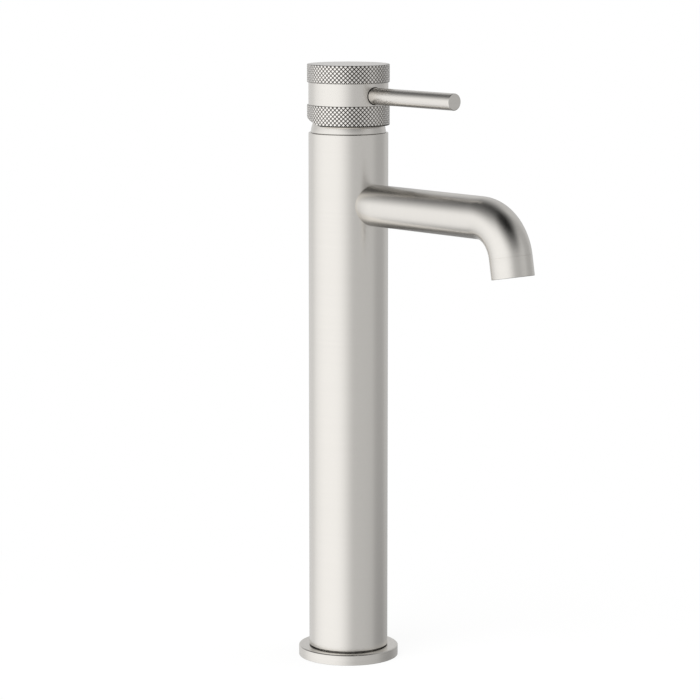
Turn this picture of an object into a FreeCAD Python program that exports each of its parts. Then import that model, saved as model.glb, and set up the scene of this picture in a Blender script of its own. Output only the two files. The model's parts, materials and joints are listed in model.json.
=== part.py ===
import FreeCAD, Part
import math
import os

# Tall single-lever basin mixer: a round column on a flange, a hooked tube spout that ends in an
# aerator, and a handle with two knurled bands and a pin lever, over a ceramic disc cartridge.
# Frame: millimetres, +Z up, origin on the column's axis at the deck face under the flange.
# The spout and the lever point along -Y. Rest is the closed tap, with the lever level.

V = FreeCAD.Vector
X_AXIS = V(1, 0, 0)
Z_AXIS = V(0, 0, 1)
CENTRE = V(0, 0, 0)

# ---- Clearances ----
fit = 0.05                  # radial, between pieces that are screwed or pushed together
running = 0.08              # radial, between the turret and the neck that it turns in
slide_gap = 0.3             # beside pieces that pass each other without touching

# ---- Cartridge: a standard 35 mm one, which sets the column's size ----
cartridge_radius = 17.5
cartridge_height = 19.0     # seat to shoulder
cartridge_wall = 1.9
shoulder_wall = 1.8
neck_radius = 12.8
neck_height = 11.7          # shoulder to the neck's rim
turret_radius = 10.2
turret_rise = 0.5           # how far the turret stands above the neck
turret_flange_height = 3.1
base_plate_height = 3.7
fixed_disc_height = 4.0
disc_margin = 0.85          # round the moving disc at either end of its stroke
moving_disc_height = 3.5
disc_gap = 0.03
disc_land = 2.4             # sealing rim round the moving disc's chamber
mixing_chamber_depth = 1.6
mixing_chamber_edge = 0.5   # how far behind the inlet holes the shut chamber stays
carrier_plate_height = 2.5
carrier_boss_width = 8.0
carrier_boss_length = 7.8
carrier_boss_height = 4.3
locating_pin_radius = 1.5
locating_pin_length = 2.5
locating_pin_x = 10.5
locating_pin_y = 5.0

# ---- Water ways, shared by the cartridge, the valve block and the foot ----
inlet_x = 8.0
inlet_y = -4.0
outlet_y = 8.5
inlet_hole_radius = 2.6
outlet_hole_radius = 3.2
seal_section = 1.4
feed_tube_radius = 4.0
feed_tube_wall = 0.8
feed_socket_depth = 8.0
feed_seal_height = 1.8

# ---- Column, from the cartridge outwards ----
cup_wall = 2.6
column_wall = 2.25
column_top = 301.6
column_edge = 0.4

# ---- Flange, foot and deck gasket ----
flange_overhang = 6.0       # how far the flange stands out round the column
flange_height = 6.0
flange_edge = 0.4
shadow_gap = 0.4            # the dark line between the flange and the column
shadow_depth = 0.9
flange_spigot_height = 3.1
gasket_inset = 2.6
gasket_width = 3.2
gasket_depth = 2.0
foot_spigot_radius = 15.4
foot_body_height = 14.5
foot_groove_rise = 5.5
foot_seal_height = 2.4
foot_seal_depth = 1.8
inlet_thread_radius = 4.5   # M10 x 1 hose tails
inlet_thread_depth = 12.0
stud_thread_radius = 3.4    # M8 fixing stud
stud_thread_depth = 14.0
stud_y = 9.0

# ---- Spout ----
spout_radius = 11.7
spout_wall = 1.6
spout_straight = 108.9      # column axis to the start of the bend
spout_bend_radius = 23.4    # on the tube's centre line
spout_bend_angle = 79.84
spout_drop = 11.4           # cartridge seat to the spout's centre line
nipple_radius = 7.0
nipple_bore = 4.2
nipple_inner_end = 9.0      # how deep the nipple stays in the valve block, past its side
nipple_outer_end = 11.5     # how far the nipple stands out of the column
nipple_seal_width = 1.8
nipple_seal_depth = 1.2
root_bush_length = 14.0
block_channel_radius = 4.0
block_floor = 3.0           # metal between the nipple's port and the feed sockets

# ---- Aerator in the spout's tip ----
tip_length = 11.1
tip_edge = 0.4
tip_spigot = 5.0
tip_thread = 0.15           # how far the tip's thread is cut into the spout's wall
tip_wall = 1.3
tip_lip = 1.1
tip_lip_height = 1.2
aerator_wall = 1.3
aerator_top = 2.0
aerator_plate = 3.0
aerator_grille = 1.2
washer_width = 2.2
washer_height = 2.6
screen_height = 0.4
screen_spacing = 3.0
jet_hole_radius = 0.7
jet_hole_count = 12
grille_hole_radius = 0.85
grille_pitch = 2.2
screen_hole_radius = 0.5
screen_pitch = 1.6

# ---- Dome and cartridge nut ----
dome_inset = 1.2            # the ledge that the column's rim leaves round the dome
dome_wall = 1.9
dome_skirt = 4.0
dome_opening = 13.4
pivot_drop = 1.8            # column rim down to the lever's pivot
shoulder_drop = 7.5         # pivot down to the cartridge's shoulder
nut_radius = 18.4
nut_gap = 0.2

# ---- Handle ----
handle_gap = 4.3            # column rim to the handle's lower edge
lower_band = 11.5
middle_band = 12.5
upper_band = 10.2
knurl_rise = 0.76           # how far the knurled bands stand out of the middle one
knurl_chamfer = 0.3
dome_clearance = 0.3
relief_angle = 15.3         # the lower band is cut away behind, so that it can tip back
relief_start = 2.76         # in front of the axis
handle_wall = 2.7
handle_lid = 4.1
boss_radius = 12.0
socket_depth_over_lever = 7.3

# ---- Lever, stem and their fixings ----
lever_rise = 5.6            # lever's centre line above the middle band's lower edge
lever_radius = 4.69
lever_tip = 87.5            # from the column's axis
lever_tip_edge = 0.5
lever_gap = 0.4             # the dark ring round the lever's root
lever_seat = 11.0
lever_thread_radius = 3.0
lever_thread_end = 5.2
lever_lift = 25.0           # degrees, from shut to fully open
stem_width = 8.0
stem_square_drop = 4.5
stem_arm = 9.2              # pivot to the centre of the stem's ball
stem_arm_radius = 2.6
stem_ball_radius = 3.0
pin_radius = 1.5
pin_end_gap = 0.1
grub_radius = 2.5
grub_length = 8.0
grub_socket = 2.5
grub_socket_depth = 3.0
plug_radius = 3.0

# ---- Sizes worked out from the ones above ----
cup_bore = cartridge_radius + 2 * fit
block_radius = cup_bore + cup_wall
column_bore = block_radius + fit
column_radius = column_bore + column_wall
flange_radius = column_radius + flange_overhang

column_low = flange_height + shadow_gap
pivot_z = column_top - pivot_drop
shoulder_z = pivot_z - shoulder_drop
seat_z = shoulder_z - cartridge_height
spout_z = seat_z - spout_drop
rim_z = column_top - dome_skirt - fit
socket_top = spout_z - nipple_radius - block_floor
block_low = socket_top - feed_socket_depth

foot_body_low = flange_height + flange_spigot_height
foot_top = foot_body_low + foot_body_height
foot_socket_low = foot_top - feed_socket_depth + slide_gap

chamber_radius = cartridge_radius - cartridge_wall
disc_travel = stem_arm * math.sin(math.radians(lever_lift))
disc_offset = disc_travel / 2   # shut, the moving disc stands this far behind the axis
moving_disc_radius = chamber_radius - disc_offset - disc_margin
mixing_chamber_radius = moving_disc_radius - disc_land
base_plate_top = seat_z + base_plate_height
fixed_disc_top = base_plate_top + fixed_disc_height
moving_disc_low = fixed_disc_top + disc_gap
moving_disc_top = moving_disc_low + moving_disc_height
carrier_top = moving_disc_top + carrier_plate_height
turret_ceiling = shoulder_z - shoulder_wall
neck_top = shoulder_z + neck_height
ball_z = pivot_z - stem_arm

spout_bore = spout_radius - spout_wall
tip_socket = spout_bore + tip_thread
tip_bore = spout_bore - tip_wall

dome_radius = column_radius - dome_inset
handle_radius = column_radius
knurl_radius = handle_radius + knurl_rise
handle_low = column_top + handle_gap
middle_low = handle_low + lower_band
middle_high = middle_low + middle_band
handle_top = middle_high + upper_band
lever_z = middle_low + lever_rise
stem_top = lever_z + socket_depth_over_lever - slide_gap

inlets = ((-inlet_x, inlet_y), (inlet_x, inlet_y))
water_ways = (*inlets, (0, outlet_y))


# ---- Building blocks ----
def rod(radius, low, high, x=0.0, y=0.0):
    return Part.makeCylinder(radius, high - low, V(x, y, low))


def ring(outer, inner, low, high, x=0.0, y=0.0):
    return rod(outer, low, high, x, y).cut(rod(inner, low, high, x, y))


def block(width, front, back, low, high):
    return Part.makeBox(width, back - front, high - low, V(-width / 2, front, low))


def turned(profile):
    points = [V(radius, 0, z) for radius, z in profile]
    return Part.Face(Part.makePolygon([*points, points[0]])).revolve(CENTRE, Z_AXIS, 360)


def soft_ring(outer, inner, low, high, x=0.0, y=0.0):
    """A seal squeezed into its groove: a ring whose section has its corners taken off."""
    corner = 0.25 * min(outer - inner, high - low)
    profile = ((inner, low + corner), (inner + corner, low), (outer - corner, low),
               (outer, low + corner), (outer, high - corner), (outer - corner, high),
               (inner + corner, high), (inner, high - corner))
    seal = turned(profile)
    seal.translate(V(x, y, 0))
    return seal


def joined(first, *others):
    return first.fuse(list(others)).removeSplitter()


def hole_grid(radius, pitch, reach, low, high):
    """Round holes on a triangular grid, those that lie wholly within the reach."""
    rows = int(reach / pitch) + 1
    row_pitch = pitch * math.sqrt(3) / 2
    holes = []
    for row in range(-rows, rows + 1):
        for column in range(-rows, rows + 1):
            x = pitch * (column + 0.5 * (row % 2))
            y = row_pitch * row
            if math.hypot(x, y) + radius < reach:
                holes.append(rod(radius, low, high, x, y))
    return holes


def forwards(shape, z):
    """Turns a shape made along +Z so that it points along -Y, at a height."""
    shape.rotate(CENTRE, X_AXIS, 90)
    shape.translate(V(0, 0, z))
    return shape


def backwards(shape, z):
    shape.rotate(CENTRE, X_AXIS, -90)
    shape.translate(V(0, 0, z))
    return shape


def at_spout_tip(shape):
    """Places a shape made round +Z with z = 0 at the seam between the bend and the tip."""
    bend_y = spout_straight + spout_bend_radius * math.sin(math.radians(spout_bend_angle))
    bend_drop = spout_bend_radius * (1 - math.cos(math.radians(spout_bend_angle)))
    shape.rotate(CENTRE, X_AXIS, spout_bend_angle - 90)
    shape.translate(V(0, -bend_y, spout_z - bend_drop))
    return shape


# ---- Foot ----
def base_flange():
    spigot_radius = column_bore - fit
    body = turned(((foot_spigot_radius + fit, 0), (flange_radius, 0),
                   (flange_radius, flange_height - flange_edge),
                   (flange_radius - flange_edge, flange_height),
                   (column_radius - shadow_depth, flange_height),
                   (column_radius - shadow_depth, column_low),
                   (spigot_radius, column_low), (spigot_radius, foot_body_low),
                   (foot_spigot_radius + fit, foot_body_low)))
    outer = flange_radius - gasket_inset
    return body.cut(ring(outer, outer - gasket_width, 0, gasket_depth))


def base_gasket():
    outer = flange_radius - gasket_inset
    return ring(outer, outer - gasket_width, 0, gasket_depth)


def inlet_block():
    body_radius = column_bore - fit
    body = joined(rod(foot_spigot_radius, 0, foot_body_low), rod(body_radius, foot_body_low, foot_top))
    groove_low = foot_body_low + foot_groove_rise
    cuts = [ring(column_bore, body_radius - foot_seal_depth, groove_low, groove_low + foot_seal_height),
            rod(stud_thread_radius, 0, stud_thread_depth, 0, stud_y)]
    for x, y in inlets:
        cuts.append(rod(inlet_thread_radius, 0, inlet_thread_depth, x, y))
        cuts.append(rod(inlet_hole_radius, 0, foot_top, x, y))
        cuts.append(rod(feed_tube_radius + fit, foot_socket_low, foot_top, x, y))
        cuts.append(feed_groove(foot_socket_low, x, y))
    return body.cut(cuts)


def inlet_block_o_ring():
    low = foot_body_low + foot_groove_rise
    return soft_ring(column_bore, column_bore - fit - foot_seal_depth, low, low + foot_seal_height)


def feed_groove(socket_floor, x, y):
    low = socket_floor + (feed_socket_depth - feed_seal_height) / 2
    return rod(feed_tube_radius + fit + seal_section, low, low + feed_seal_height, x, y)


def feed_tube(x, y):
    return ring(feed_tube_radius, feed_tube_radius - feed_tube_wall,
                foot_socket_low + fit, socket_top - fit, x, y)


def feed_tube_o_rings():
    seals = []
    for x, y in inlets:
        for floor in (foot_socket_low, block_low):
            low = floor + (feed_socket_depth - feed_seal_height) / 2
            seals.append(soft_ring(feed_tube_radius + fit + seal_section, feed_tube_radius,
                                   low, low + feed_seal_height, x, y))
    return Part.makeCompound(seals)


# ---- Column and valve block ----
def column_body():
    tube = turned(((column_bore, column_low), (column_radius, column_low),
                   (column_radius, column_top - column_edge),
                   (column_radius - column_edge, column_top), (column_bore, column_top)))
    return tube.cut(forwards(rod(nipple_radius + fit, 0, 2 * column_radius), spout_z))


def valve_block():
    body = rod(block_radius, block_low, rim_z)
    nipple_floor = block_radius - nipple_inner_end
    cuts = [rod(cup_bore, seat_z, rim_z),
            rod(nut_radius + fit, shoulder_z, rim_z),
            forwards(rod(nipple_radius + fit, nipple_floor, 2 * block_radius), spout_z),
            forwards(rod(block_channel_radius, -outlet_y, block_radius), spout_z),
            rod(outlet_hole_radius, spout_z, rim_z, 0, outlet_y)]
    for x, y in inlets:
        cuts.append(rod(feed_tube_radius + fit, block_low, socket_top, x, y))
        cuts.append(rod(inlet_hole_radius, block_low, seat_z, x, y))
        cuts.append(feed_groove(block_low, x, y))
    for side in (-1, 1):
        cuts.append(rod(locating_pin_radius + fit, seat_z - locating_pin_length - slide_gap, seat_z,
                        side * locating_pin_x, locating_pin_y))
    return body.cut(cuts)


# ---- Spout ----
def spout_core(radius):
    """The spout's path filled to a radius, from inside the column to the end of the bend."""
    straight = forwards(rod(radius, column_bore / 2, spout_straight), spout_z)
    centre = V(0, -spout_straight, spout_z - spout_bend_radius)
    section = Part.Face(Part.Wire(Part.makeCircle(radius, V(0, -spout_straight, spout_z), V(0, 1, 0))))
    bend = section.revolve(centre, X_AXIS, spout_bend_angle)
    return joined(straight, bend)


def column_outside():
    return rod(column_radius, column_low, column_top)


def spout_tube():
    tube = spout_core(spout_radius).cut(spout_core(spout_bore))
    return tube.cut([at_spout_tip(rod(tip_socket, 0, tip_spigot + slide_gap)), column_outside()])


def spout_root_bush():
    reach = column_radius + root_bush_length
    bush = rod(spout_bore - fit, column_bore / 2, reach).cut(rod(nipple_radius + fit, 0, reach))
    return forwards(bush, spout_z).cut(column_outside())


def nipple_seal_places():
    """The near ends of the nipple's two seal grooves, as distances from the column's axis."""
    inner = block_radius - nipple_inner_end
    return (inner + nipple_seal_width, column_radius + nipple_seal_width)


def spout_nipple():
    inner = block_radius - nipple_inner_end + fit
    nipple = ring(nipple_radius, nipple_bore, inner, column_radius + nipple_outer_end)
    grooves = [ring(nipple_radius + fit, nipple_radius - nipple_seal_depth, place,
                    place + nipple_seal_width) for place in nipple_seal_places()]
    return forwards(nipple.cut(grooves), spout_z)


def spout_nipple_o_rings():
    seals = [soft_ring(nipple_radius + fit, nipple_radius - nipple_seal_depth, place,
                       place + nipple_seal_width) for place in nipple_seal_places()]
    return forwards(Part.makeCompound(seals), spout_z)


# ---- Aerator ----
def aerator_housing():
    spigot_radius = tip_socket - fit
    return at_spout_tip(turned((
        (tip_bore, -tip_length + tip_lip_height), (tip_bore - tip_lip, -tip_length + tip_lip_height),
        (tip_bore - tip_lip, -tip_length), (spout_radius - tip_edge, -tip_length),
        (spout_radius, -tip_length + tip_edge), (spout_radius, 0), (spigot_radius, 0),
        (spigot_radius, tip_spigot), (tip_bore, tip_spigot))))


def aerator_insert():
    outer = tip_bore - fit
    inner = outer - aerator_wall
    low = -tip_length + tip_lip_height
    body = rod(outer, low, aerator_top)
    hollow = rod(inner, low + aerator_grille, aerator_top - aerator_plate)
    jets = []
    for index in range(jet_hole_count):
        angle = 2 * math.pi * index / jet_hole_count
        jets.append(rod(jet_hole_radius, aerator_top - aerator_plate, aerator_top,
                        inner * math.cos(angle) * 2 / 3, inner * math.sin(angle) * 2 / 3))
    grille = hole_grid(grille_hole_radius, grille_pitch, inner, low, low + aerator_grille)
    return at_spout_tip(body.cut([hollow, *jets, *grille]))


def aerator_screens():
    radius = tip_bore - fit - aerator_wall - fit
    low = aerator_top - aerator_plate - screen_height
    screens = []
    for level in (low, low - screen_spacing):
        screen = rod(radius, level, level + screen_height)
        screens.append(screen.cut(hole_grid(screen_hole_radius, screen_pitch, radius - screen_pitch / 2,
                                            level, level + screen_height)))
    return at_spout_tip(Part.makeCompound(screens))


def aerator_washer():
    outer = tip_bore - fit
    return at_spout_tip(soft_ring(outer, outer - washer_width, aerator_top, aerator_top + washer_height))


# ---- Cartridge ----
def cartridge_housing():
    return turned(((chamber_radius, seat_z), (cartridge_radius, seat_z), (cartridge_radius, shoulder_z),
                   (neck_radius, shoulder_z), (neck_radius, neck_top),
                   (turret_radius + running, neck_top), (turret_radius + running, turret_ceiling),
                   (chamber_radius, turret_ceiling)))


def water_holes(low, high):
    holes = [rod(inlet_hole_radius, low, high, x, y) for x, y in inlets]
    holes.append(rod(outlet_hole_radius, low, high, 0, outlet_y))
    return holes


def cartridge_base_plate():
    body = rod(chamber_radius - fit, seat_z, base_plate_top)
    pins = [rod(locating_pin_radius, seat_z - locating_pin_length, base_plate_top,
                side * locating_pin_x, locating_pin_y) for side in (-1, 1)]
    grooves = [rod(outlet_hole_radius + seal_section, seat_z, seat_z + seal_section, x, y)
               for x, y in water_ways]
    return joined(body, *pins).cut([*water_holes(seat_z, base_plate_top), *grooves])


def cartridge_base_seals():
    return Part.makeCompound([soft_ring(outlet_hole_radius + seal_section, outlet_hole_radius,
                                        seat_z, seat_z + seal_section, x, y) for x, y in water_ways])


def fixed_ceramic_disc():
    return rod(chamber_radius - 2 * fit, base_plate_top, fixed_disc_top).cut(
        water_holes(base_plate_top, fixed_disc_top))


def moving_ceramic_disc():
    """Shut, its chamber lies behind the inlet holes; slid forward it joins them to the outlet."""
    disc = rod(moving_disc_radius, moving_disc_low, moving_disc_top, 0, disc_offset)
    front = inlet_y + inlet_hole_radius + mixing_chamber_edge
    chamber = rod(mixing_chamber_radius, moving_disc_low, moving_disc_low + mixing_chamber_depth,
                  0, disc_offset)
    behind = block(4 * mixing_chamber_radius, front, 4 * mixing_chamber_radius,
                   moving_disc_low, moving_disc_low + mixing_chamber_depth)
    return disc.cut(chamber.common(behind))


def disc_carrier():
    plate = rod(moving_disc_radius, moving_disc_top, carrier_top, 0, disc_offset)
    half = carrier_boss_length / 2
    boss = block(carrier_boss_width, -half, half, moving_disc_top, carrier_top + carrier_boss_height)
    pocket_radius = stem_ball_radius + fit
    pocket = rod(pocket_radius, ball_z, column_top)
    hollow = Part.makeSphere(pocket_radius, V(0, 0, ball_z))
    return joined(plate, boss).cut([pocket, hollow])


def turret_slot():
    """Room for the carrier's boss to slide forward and for the stem's top to tip back."""
    lift = math.radians(lever_lift)
    front = disc_travel + carrier_boss_length / 2 + slide_gap
    head = neck_top + turret_rise - pivot_z
    back = (stem_width / 2 + head * math.sin(lift)) / math.cos(lift) + slide_gap
    return block(stem_width + 2 * slide_gap, -front, max(back, carrier_boss_length / 2 + slide_gap),
                 carrier_top, neck_top + 2 * turret_rise)


def cartridge_turret():
    body = joined(rod(turret_radius, carrier_top + slide_gap, neck_top + turret_rise),
                  rod(chamber_radius - slide_gap, carrier_top + slide_gap, turret_ceiling - fit))
    return body.cut([turret_slot(), pivot_rod(pin_radius, turret_radius + slide_gap)])


def pivot_rod(radius, half_length):
    return Part.makeCylinder(radius, 2 * half_length, V(-half_length, 0, pivot_z), X_AXIS)


def pivot_pin():
    return pivot_rod(pin_radius, turret_radius - pin_end_gap)


def cartridge_nut():
    return ring(nut_radius, neck_radius + 2 * fit, shoulder_z, rim_z - nut_gap)


def dome_cover():
    sphere_centre = V(0, 0, pivot_z)
    shell = Part.makeSphere(dome_radius, sphere_centre)
    shell = shell.common(rod(dome_radius, column_top, column_top + dome_radius))
    skirt = rod(column_bore - fit, column_top - dome_skirt, column_top)
    opening = rod(dome_opening, column_top, column_top + 2 * dome_radius)
    inside = Part.makeSphere(dome_radius - dome_wall, sphere_centre)
    throat = rod(dome_radius - dome_wall - column_edge, column_top - dome_skirt, column_top)
    return joined(shell, skirt).cut([opening, inside, throat])


# ---- Handle, lever and stem ----
def handle_relief():
    """The wedge taken off the lower band behind, rising towards the back."""
    reach = 2 * knurl_radius
    rise = (reach + relief_start) * math.tan(math.radians(relief_angle))
    corners = [V(-reach, -relief_start, handle_low), V(-reach, reach, handle_low),
               V(-reach, reach, handle_low + rise)]
    return Part.Face(Part.makePolygon([*corners, corners[0]])).extrude(V(2 * reach, 0, 0))


def handle_shell():
    body = turned(((0, handle_low), (knurl_radius - knurl_chamfer, handle_low),
                   (knurl_radius, handle_low + knurl_chamfer), (knurl_radius, middle_low - knurl_chamfer),
                   (knurl_radius - knurl_chamfer, middle_low), (handle_radius, middle_low),
                   (handle_radius, middle_high), (knurl_radius - knurl_chamfer, middle_high),
                   (knurl_radius, middle_high + knurl_chamfer), (knurl_radius, handle_top - knurl_chamfer),
                   (knurl_radius - knurl_chamfer, handle_top), (0, handle_top)))
    dome_space = Part.makeSphere(dome_radius + dome_clearance, V(0, 0, pivot_z))
    pocket = ring(handle_radius - handle_wall, boss_radius, pivot_z, handle_top - handle_lid)
    socket = block(stem_width + 2 * fit, -stem_width / 2 - fit, stem_width / 2 + fit, pivot_z,
                   lever_z + socket_depth_over_lever)
    lever_hole = forwards(rod(lever_radius + lever_gap, lever_seat, 2 * handle_radius), lever_z)
    lever_thread = forwards(rod(lever_thread_radius + fit, 0, lever_seat), lever_z)
    mid_pocket = (boss_radius + handle_radius - handle_wall) / 2
    grub_thread = backwards(rod(grub_radius + fit, 0, mid_pocket), lever_z)
    plug_hole = backwards(rod(plug_radius + fit, mid_pocket, 2 * handle_radius), lever_z)
    return body.cut([handle_relief(), dome_space, pocket, socket, lever_hole, lever_thread, grub_thread,
                     plug_hole])


def lever_pin():
    profile = ((0, lever_thread_end), (lever_thread_radius, lever_thread_end),
               (lever_thread_radius, lever_seat), (lever_radius, lever_seat),
               (lever_radius, lever_tip - lever_tip_edge), (lever_radius - lever_tip_edge, lever_tip),
               (0, lever_tip))
    return forwards(turned(profile), lever_z)


def hexagon_prism(across_flats, low, high):
    corner_radius = across_flats / math.sqrt(3)
    corners = [V(corner_radius * math.cos(math.radians(60 * index)),
                 corner_radius * math.sin(math.radians(60 * index)), low) for index in range(7)]
    return Part.Face(Part.makePolygon(corners)).extrude(V(0, 0, high - low))


def handle_grub_screw():
    start = stem_width / 2
    end = start + grub_length
    screw = rod(grub_radius, start, end).cut(hexagon_prism(grub_socket, end - grub_socket_depth, end))
    return backwards(screw, lever_z)


def screw_hole_plug():
    plug = backwards(rod(plug_radius, handle_radius - handle_wall, 2 * handle_radius), lever_z)
    return plug.common(rod(handle_radius, handle_low, handle_top))


def cartridge_stem():
    half = stem_width / 2
    square = block(stem_width, -half, half, pivot_z - stem_square_drop, stem_top)
    arm = rod(stem_arm_radius, ball_z, pivot_z)
    ball = Part.makeSphere(stem_ball_radius, V(0, 0, ball_z))
    return joined(square, arm, ball).cut(pivot_rod(pin_radius + fit, stem_width))


nodes = {
    "base_flange": base_flange, "base_gasket": base_gasket,
    "inlet_block": inlet_block, "inlet_block_o_ring": inlet_block_o_ring,
    "hot_feed_tube": lambda: feed_tube(*inlets[0]), "cold_feed_tube": lambda: feed_tube(*inlets[1]),
    "feed_tube_o_rings": feed_tube_o_rings,
    "column_body": column_body, "valve_block": valve_block,
    "spout_tube": spout_tube, "spout_root_bush": spout_root_bush,
    "spout_nipple": spout_nipple, "spout_nipple_o_rings": spout_nipple_o_rings,
    "aerator_housing": aerator_housing, "aerator_insert": aerator_insert,
    "aerator_screens": aerator_screens, "aerator_washer": aerator_washer,
    "cartridge_housing": cartridge_housing, "cartridge_base_plate": cartridge_base_plate,
    "cartridge_base_seals": cartridge_base_seals, "fixed_ceramic_disc": fixed_ceramic_disc,
    "cartridge_nut": cartridge_nut, "dome_cover": dome_cover,
    "cartridge_turret": cartridge_turret, "pivot_pin": pivot_pin,
    "moving_ceramic_disc": moving_ceramic_disc, "disc_carrier": disc_carrier,
    "cartridge_stem": cartridge_stem, "handle_shell": handle_shell, "lever_pin": lever_pin,
    "handle_grub_screw": handle_grub_screw, "screw_hole_plug": screw_hole_plug,
}

os.makedirs("parts", exist_ok=True)
for name, make in nodes.items():
    make().exportStep(f"parts/{name}.step")
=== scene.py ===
"""Dresses the tall basin mixer: turned, bent and knurled nickel outside, and finishes for what it holds.

Everything is in metres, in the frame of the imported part: the column stands on the origin, and the
spout and the lever point along -Y.
"""

import json
import math

import bmesh
import bpy
from bpy.props import FloatProperty, FloatVectorProperty, IntProperty, PointerProperty
from mathutils import Matrix, Vector


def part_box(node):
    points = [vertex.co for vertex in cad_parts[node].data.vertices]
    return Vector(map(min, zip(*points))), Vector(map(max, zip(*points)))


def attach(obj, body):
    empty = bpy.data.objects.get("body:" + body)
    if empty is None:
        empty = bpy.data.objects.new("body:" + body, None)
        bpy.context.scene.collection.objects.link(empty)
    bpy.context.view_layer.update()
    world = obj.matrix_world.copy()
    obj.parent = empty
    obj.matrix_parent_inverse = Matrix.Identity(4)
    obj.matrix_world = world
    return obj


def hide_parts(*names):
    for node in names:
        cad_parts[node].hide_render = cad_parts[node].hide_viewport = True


bl_info = {
    "name": "Tall Basin Mixer",
    "version": (1, 0, 0),
    "blender": (4, 5, 0),
    "location": "View3D > Sidebar > Mixer",
    "description": "Builds the outside of a knurled basin mixer round its packed solids",
    "category": "Object",
}

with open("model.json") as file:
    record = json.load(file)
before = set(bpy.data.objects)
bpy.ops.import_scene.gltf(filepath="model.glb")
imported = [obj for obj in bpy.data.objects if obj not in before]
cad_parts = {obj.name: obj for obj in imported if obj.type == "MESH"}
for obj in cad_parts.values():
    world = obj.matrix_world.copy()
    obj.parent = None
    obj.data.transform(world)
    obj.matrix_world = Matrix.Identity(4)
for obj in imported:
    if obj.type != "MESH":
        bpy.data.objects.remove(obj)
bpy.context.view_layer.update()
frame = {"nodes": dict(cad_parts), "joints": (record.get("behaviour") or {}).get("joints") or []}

MM = 0.001
FIT = 0.05 * MM              # between pieces that are screwed or pushed together
SET_SCREW_RADIUS = 2.5 * MM
SHARP_ANGLE = math.radians(32)
BAR_FACETS = 96              # flat steps round a plain bar
ARC_STEPS = 6                # steps of a rounded corner
BALL_STEPS = 48              # steps of a half circle
FEWEST_FACES = 12            # a cut that leaves fewer has gone wrong


def low(node):
    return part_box(node)[0]


def high(node):
    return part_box(node)[1]


PIVOT = Vector(next(joint["pos_m"] for joint in frame["joints"] if joint["name"] == "handle_lift"))


# ---- Sizes and colours that a user would change ----
def length(name, description, metres):
    return FloatProperty(name=name, description=description, default=metres, min=0.0, precision=5,
                         unit="LENGTH")


def angle(name, description, degrees):
    return FloatProperty(name=name, description=description, default=math.radians(degrees),
                         subtype="ANGLE")


def share(name, description, value, most=1.0):
    return FloatProperty(name=name, description=description, default=value, min=0.0, max=most)


def count(name, description, value):
    return IntProperty(name=name, description=description, default=value, min=3)


def colour(name, description, red, green, blue):
    return FloatVectorProperty(name=name, description=description, default=(red, green, blue),
                               subtype="COLOR", min=0.0, max=1.0)


class MIXER_PG_body(bpy.types.PropertyGroup):
    """Flange, column and neck."""
    facets: count("Facets", "Flat steps round each turned piece", 240)
    column_radius: length("Column radius", "Outside of the column", high("column_body").x)
    column_bore: length("Column bore", "Inside of the column", high("inlet_block").x + FIT)
    column_low: length("Column foot", "Height of the column's lower end", low("column_body").z)
    column_top: length("Column top", "Height of the column's rim", high("column_body").z)
    rim_rounding: length("Rim rounding", "Rounding of the column's rim", 0.35 * MM)
    flange_radius: length("Flange radius", "Outside of the flange", high("base_flange").x)
    flange_height: length("Flange height", "Top of the flange", 6.0 * MM)
    flange_chamfer: length("Flange chamfer", "Chamfer of the flange's upper edge", 0.45 * MM)
    flange_bore: length("Flange bore", "Hole for the foot", 15.45 * MM)
    shadow_depth: length("Shadow line depth", "How far the line over the flange is cut in", 0.9 * MM)
    gasket_radius: length("Gasket radius", "Outside of the gasket's groove", high("base_gasket").x)
    gasket_width: length("Gasket width", "Width of the gasket's groove", 3.2 * MM)
    nipple_hole: length("Nipple hole", "Radius of the hole behind the spout", high("spout_nipple").x + FIT)
    dome_radius: length("Neck radius", "Ball radius of the neck under the handle", 21.3 * MM)
    dome_wall: length("Neck wall", "Wall of the neck", 1.9 * MM)
    dome_skirt: length("Neck skirt", "Depth of the neck's skirt in the column", 4.0 * MM)
    dome_opening: length("Neck opening", "Radius of the opening for the handle", 13.4 * MM)


class MIXER_PG_spout(bpy.types.PropertyGroup):
    """The bent tube and its tip."""
    facets: count("Facets", "Flat steps round the tube", 128)
    radius: length("Radius", "Outside of the tube", high("spout_tube").x)
    wall: length("Wall", "Wall of the tube", 1.6 * MM)
    straight: length("Straight run", "Column's axis to the start of the bend", 108.9 * MM)
    bend_radius: length("Bend radius", "Bend on the tube's centre line", 23.4 * MM)
    bend: angle("Bend", "How far the tube is bent down", 79.84)
    socket_depth: length("Socket depth", "Room for the tip's thread", 5.3 * MM)
    socket_cut: length("Socket cut", "How far the thread is cut into the wall", 0.15 * MM)
    tip_length: length("Tip length", "Tip below the seam", 11.1 * MM)
    tip_wall: length("Tip wall", "Wall of the tip", 1.3 * MM)
    tip_lip: length("Tip lip", "Width of the lip that holds the insert", 1.1 * MM)
    tip_lip_height: length("Lip height", "Height of that lip", 1.2 * MM)
    tip_rounding: length("Tip rounding", "Rounding of the tip's outer edge", 0.35 * MM)
    seam: length("Seam", "Width and depth of the fine line at the tip's joint", 0.06 * MM)


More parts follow.
